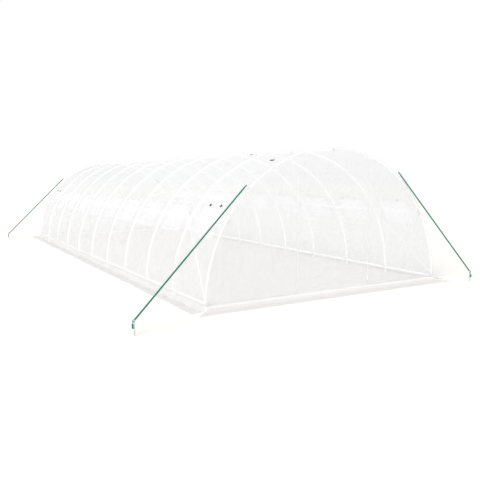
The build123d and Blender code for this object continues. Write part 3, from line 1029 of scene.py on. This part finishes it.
seat_depth, shoulder = eye_standoff + 0.0015, peg_height - peg_bow
shank = seat_depth - eye_ring
turned_parts = (
    ("shank", 0, 16, [(0, 0.0036), (shank - 0.012, 0.0036), (shank - 0.010, 0.0042),
                      (shank, 0.0034)]),
    ("washer", 0.0024, 28, [(0, 0.0115), (0.0003, 0.012), (0.0017, 0.012), (0.002, 0.0115)]),
    ("nut", 0.0045, 6, [(0, 0.0066), (0.0006, 0.0075), (0.0056, 0.0075), (0.0062, 0.0066)]),
)
peg_outline = [(-peg_bow, height) for height in (0.0, 0.006, 0.05, 0.10, shoulder)]
peg_outline += [(-peg_bow * math.cos(a), shoulder + peg_bow * math.sin(a))
                for a in np.linspace(0, math.pi, 15)[1:]]
peg_outline += [(peg_bow, shoulder - drop) for drop in (0.010, 0.021)]
eye_parts, peg_runs = [], []
for facts in guys.values():
    outward, eye, hook, run, ring_axis, hook_way = guy_line(*facts)
    circle = ring_points(eye, ring_axis, eye_ring, np.linspace(0, 2 * math.pi, 40, endpoint=False))
    eye_parts.append(rod("ring", [circle], eye_wire, zinc, closed=True, sides=8))
    for part, rise, count, steps in turned_parts:
        eye_parts.append(lathe(part, eye - outward * (seat_depth - rise), outward, steps, zinc,
                               count))
    peg_runs.append([Vector((hook.x, hook.y, height)) - hook_way * across
                     for across, height in peg_outline])
eyes = joined("guy_eye_bolts", eye_parts)
done(eyes, "zinc_plated_steel", "guy_eyes")
pegs = rod("hooked_pegs", peg_runs, peg_radius, dull_zinc, sides=8)
done(pegs, "zinc_plated_steel", "ground_pegs")
print("eyes and pegs:", len(eyes.data.polygons), "and", len(pegs.data.polygons), "faces")

# %% [markdown]
# ## Small things by the hundred
# Screws, toggles and zip teeth are one small mesh each, set down many times. One tree does all
# of them: it reads a mesh that is nothing but points, puts the small mesh on each point and
# turns it by two directions stored there, which way is up for it and which way is along.

# %% Tree that sets small things on points
set_tree, value = new_tree("set on points", {"Thing": "Object", "Material": "Material"})
thing = put(set_tree, "GeometryNodeObjectInfo", {"Object": value["Thing"], "As Instance": True})
upward, forward = (put(set_tree, "GeometryNodeInputNamedAttribute", {"Name": label},
                       data_type="FLOAT_VECTOR") for label in ("up", "along"))
turned = put(set_tree, "FunctionNodeAxesToRotation", [upward, forward], primary_axis="Z",
             secondary_axis="X")
placed = put(set_tree, "GeometryNodeInstanceOnPoints", {
    "Points": value["Geometry"], "Instance": thing.outputs["Geometry"], "Rotation": turned})
close_tree(set_tree, placed, value["Material"], smooth=False)


def set_down(name, thing, spots, slot_name="reinforced_film"):
    """Put a small thing on many spots, each a place, its up and its along, and keep one mesh."""
    base = bpy.data.meshes.new(name + " spots")
    base.from_pydata([tuple(spot[0]) for spot in spots], [], [])
    for index, label in enumerate(("up", "along"), start=1):
        stored = base.attributes.new(label, "FLOAT_VECTOR", "POINT")
        stored.data.foreach_set("vector", [v for spot in spots for v in spot[index]])
    piece = grow(name, set_tree, {"Thing": thing, "Material": thing.data.materials[0]}, base)
    for label in ("up", "along"):
        if label in piece.data.attributes:
            piece.data.attributes.remove(piece.data.attributes[label])
    thing_mesh = thing.data
    bpy.data.objects.remove(thing)
    bpy.data.meshes.remove(thing_mesh)
    print(name, len(spots), "set,", len(piece.data.polygons), "faces")
    done(piece, slot_name)


# %% Screws of the clamps and of the hoop joints
origin, tunnel_way, up_way = Vector((0, 0, 0)), Vector((0, 1, 0)), Vector((0, 0, 1))
screw = lathe("screw", origin, up_way, [(-0.0005, 0.0058), (0.0006, 0.0058), (0.0009, 0.0042),
                                        (0.0036, 0.0042), (0.0042, 0.0036)], zinc, 6)


def middle_height(node):
    """Height of the middle of a CAD node over the centre of the arch."""
    return sum(corner.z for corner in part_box(node)) / 2 - centre_height


layer_radius = middle_height("ridge_purlin")
clamp_turns = [math.asin(middle_height(node) / layer_radius)
               for node in ("base_rail_right", "side_purlin_right")]
clamp_turns += [math.pi / 2] + [math.pi - turn for turn in clamp_turns]
ear_out, ear_back = 0.0245, tube_radius - 0.0022
joint_inside = skin_radius - 2 * tube_radius - 0.0008
screw_apart, ridge_apart = 0.018, 2.6
whole_path = hoop_radius * math.pi + 2 * centre_height
spots = []
for place in hoop_places:
    centre = Vector((0, place, centre_height))
    for turn in clamp_turns:
        outward, round_way = arch_ways(turn)
        spots += [(centre + outward * (layer_radius + ear_back) + round_way * (ear * ear_out),
                   -outward, round_way) for ear in (-1, 1)]
    for joint in joint_parts:
        apart = screw_apart * (ridge_apart if joint == 0.5 else 1)
        for offset in (-apart, apart):
            outward = arch_ways((joint * whole_path - centre_height + offset) / hoop_radius)[0]
            spots.append((centre + outward * joint_inside, -outward, tunnel_way))
set_down("frame_screws", screw, spots, "zinc_plated_steel")

# %% [markdown]
# Above each window two toggles on short straps hold the flap when it is rolled up. The photograph
# shows dark ones at the first and the last window of a side and none on the rest, so those are
# black and the others are white like the film.

# %% Toggles of the windows
flap_top = window_middle + window_turn + flap_margin / film_radius
toggle_apart, toggle_drop, toggle_lift, strap_lift = 0.15, 0.006, 0.0075, 0.0062
turn = flap_top - toggle_drop / film_radius
toggles, straps = {"black": [], "white": []}, []
for side in (-1, 1):
    angle = turn if side > 0 else math.pi - turn
    for number, middle in enumerate(bay_middles):
        colour = "black" if side < 0 and number in (0, len(bay_middles) - 1) else "white"
        for y in (middle - toggle_apart, middle + toggle_apart):
            seat = Vector(round_point(np.array(y), np.array(angle), toggle_lift))
            toggles[colour].append((seat, arch_ways(angle)[0], tunnel_way))
            ys, turns = crossed(y + np.array([-0.009, 0, 0.009]),
                                np.linspace(-0.055, 0.045, 9) / film_radius)
            straps.append((round_point(ys, angle + side * turns, strap_lift), side < 0, ys, turns))
button = [(0, 0.019), (0.003, 0.0195), (0.0055, 0.018), (0.0065, 0.0155), (0.0052, 0.013),
          (0.0045, 0.006)]
for colour, material in (("black", black_plastic), ("white", zip_plastic)):
    set_down("toggles_" + colour, lathe("toggle", origin, up_way, button, material, 18),
             toggles[colour])
points, faces, uv = [], [], []
for grid, flip, ys, turns in straps:
    faces.append(grid_faces(*ys.shape, flip=flip, start=ys.size * len(points)))
    points.append(grid.reshape(-1, 3))
    uv.append(np.stack([ys, turns * film_radius], -1).reshape(-1, 2))
done(mesh_piece("toggle_straps", np.concatenate(points), np.concatenate(faces), tape_film,
                np.concatenate(uv)), "reinforced_film")
print("straps:", len(straps))

# %% [markdown]
# ## Roof fittings
# Two small dark things sit on the roof near the front: a buckle about 90 mm long in the first
# bay, and a button in the second. They are too small in the photograph to tell what they are, so
# they are made as the plain plastic fittings that such covers have.

# %% Roof fittings
def blocks(name, boxes, rounding, material):
    """Boxes given by their low and high corners, with rounded edges, as one mesh."""
    mesh = bpy.data.meshes.new(name)
    work = bmesh.new()
    for low, high in boxes:
        for vertex in bmesh.ops.create_cube(work, size=1.0)["verts"]:
            vertex.co = Vector([(l + h) / 2 + c * (h - l) for l, h, c in zip(low, high, vertex.co)])
    bmesh.ops.bevel(work, geom=work.edges[:], offset=rounding, segments=2, affect="EDGES")
    work.to_mesh(mesh)
    work.free()
    return as_piece(name, mesh, material)


def roof_spot(x, y, lift=0.0016):
    """A place on the roof above x and y, which way is out of the film and which way is round."""
    angle = math.acos(x / film_radius)
    return Vector(round_point(np.array(y), np.array(angle), lift)), *arch_ways(angle)


buckle = blocks("buckle", [((-0.045, -0.012, 0), (0.045, -0.007, 0.007)),
                           ((-0.045, 0.007, 0), (0.045, 0.012, 0.007)),
                           ((-0.045, -0.012, 0), (-0.036, 0.012, 0.007)),
                           ((0.036, -0.012, 0), (0.045, 0.012, 0.007)),
                           ((-0.012, -0.012, 0.001), (0.012, 0.012, 0.008))], 0.0014, black_plastic)
set_down("roof_buckle", buckle, [(*roof_spot(-0.808, -4.676)[:2], -tunnel_way)])
set_down("roof_button", lathe("button", origin, up_way, button, black_plastic, 18),
         [roof_spot(-0.465, -3.575)])

# %% [markdown]
# ## Zips
# A coarse moulded zip runs up each side of a door: two rows of teeth that mesh, and a slider with
# a pull at the foot. Real teeth stand 4 mm apart; these are drawn 8 mm apart and twice as big.

# %% Zips
tooth = lathe("tooth", origin, up_way, [(0, 0.0023), (0.0014, 0.0023), (0.0019, 0.0014)],
              zip_plastic, 6)
zip_low, zip_high, zip_out, tooth_pitch = door_foot + 0.03, door_top - 0.02, 0.006, 0.008
tooth_lift, slider_lift, slider_up = 0.0068, 0.0075, 0.02
teeth, slides = [], []
for end in (-1, 1):
    out = end * tunnel_way
    for x in (-(door_half + zip_out), door_half + zip_out):
        for height in np.arange(zip_low, zip_high, tooth_pitch):
            y = end * (wall_place + tooth_lift
                       + float(door_offset(np.array(x), np.array(height), door_seeds[end])))
            teeth += [(Vector((x + near * 0.0026, y, height + near * 0.002)), out,
                       Vector((1, 0, 0))) for near in (-1, 1)]
        slides.append((Vector((x, end * (wall_place + slider_lift), zip_low + slider_up)), out,
                       up_way))
set_down("zip_teeth", tooth, teeth)

slider = blocks("slider", [((-0.012, -0.007, 0), (0.012, 0.007, 0.006)),
                           ((-0.052, -0.0045, 0.0062), (-0.004, 0.0045, 0.0086)),
                           ((-0.008, -0.0025, 0.005), (0.006, 0.0025, 0.0105))],
                0.0012, zip_plastic)
set_down("zip_sliders", slider, slides)
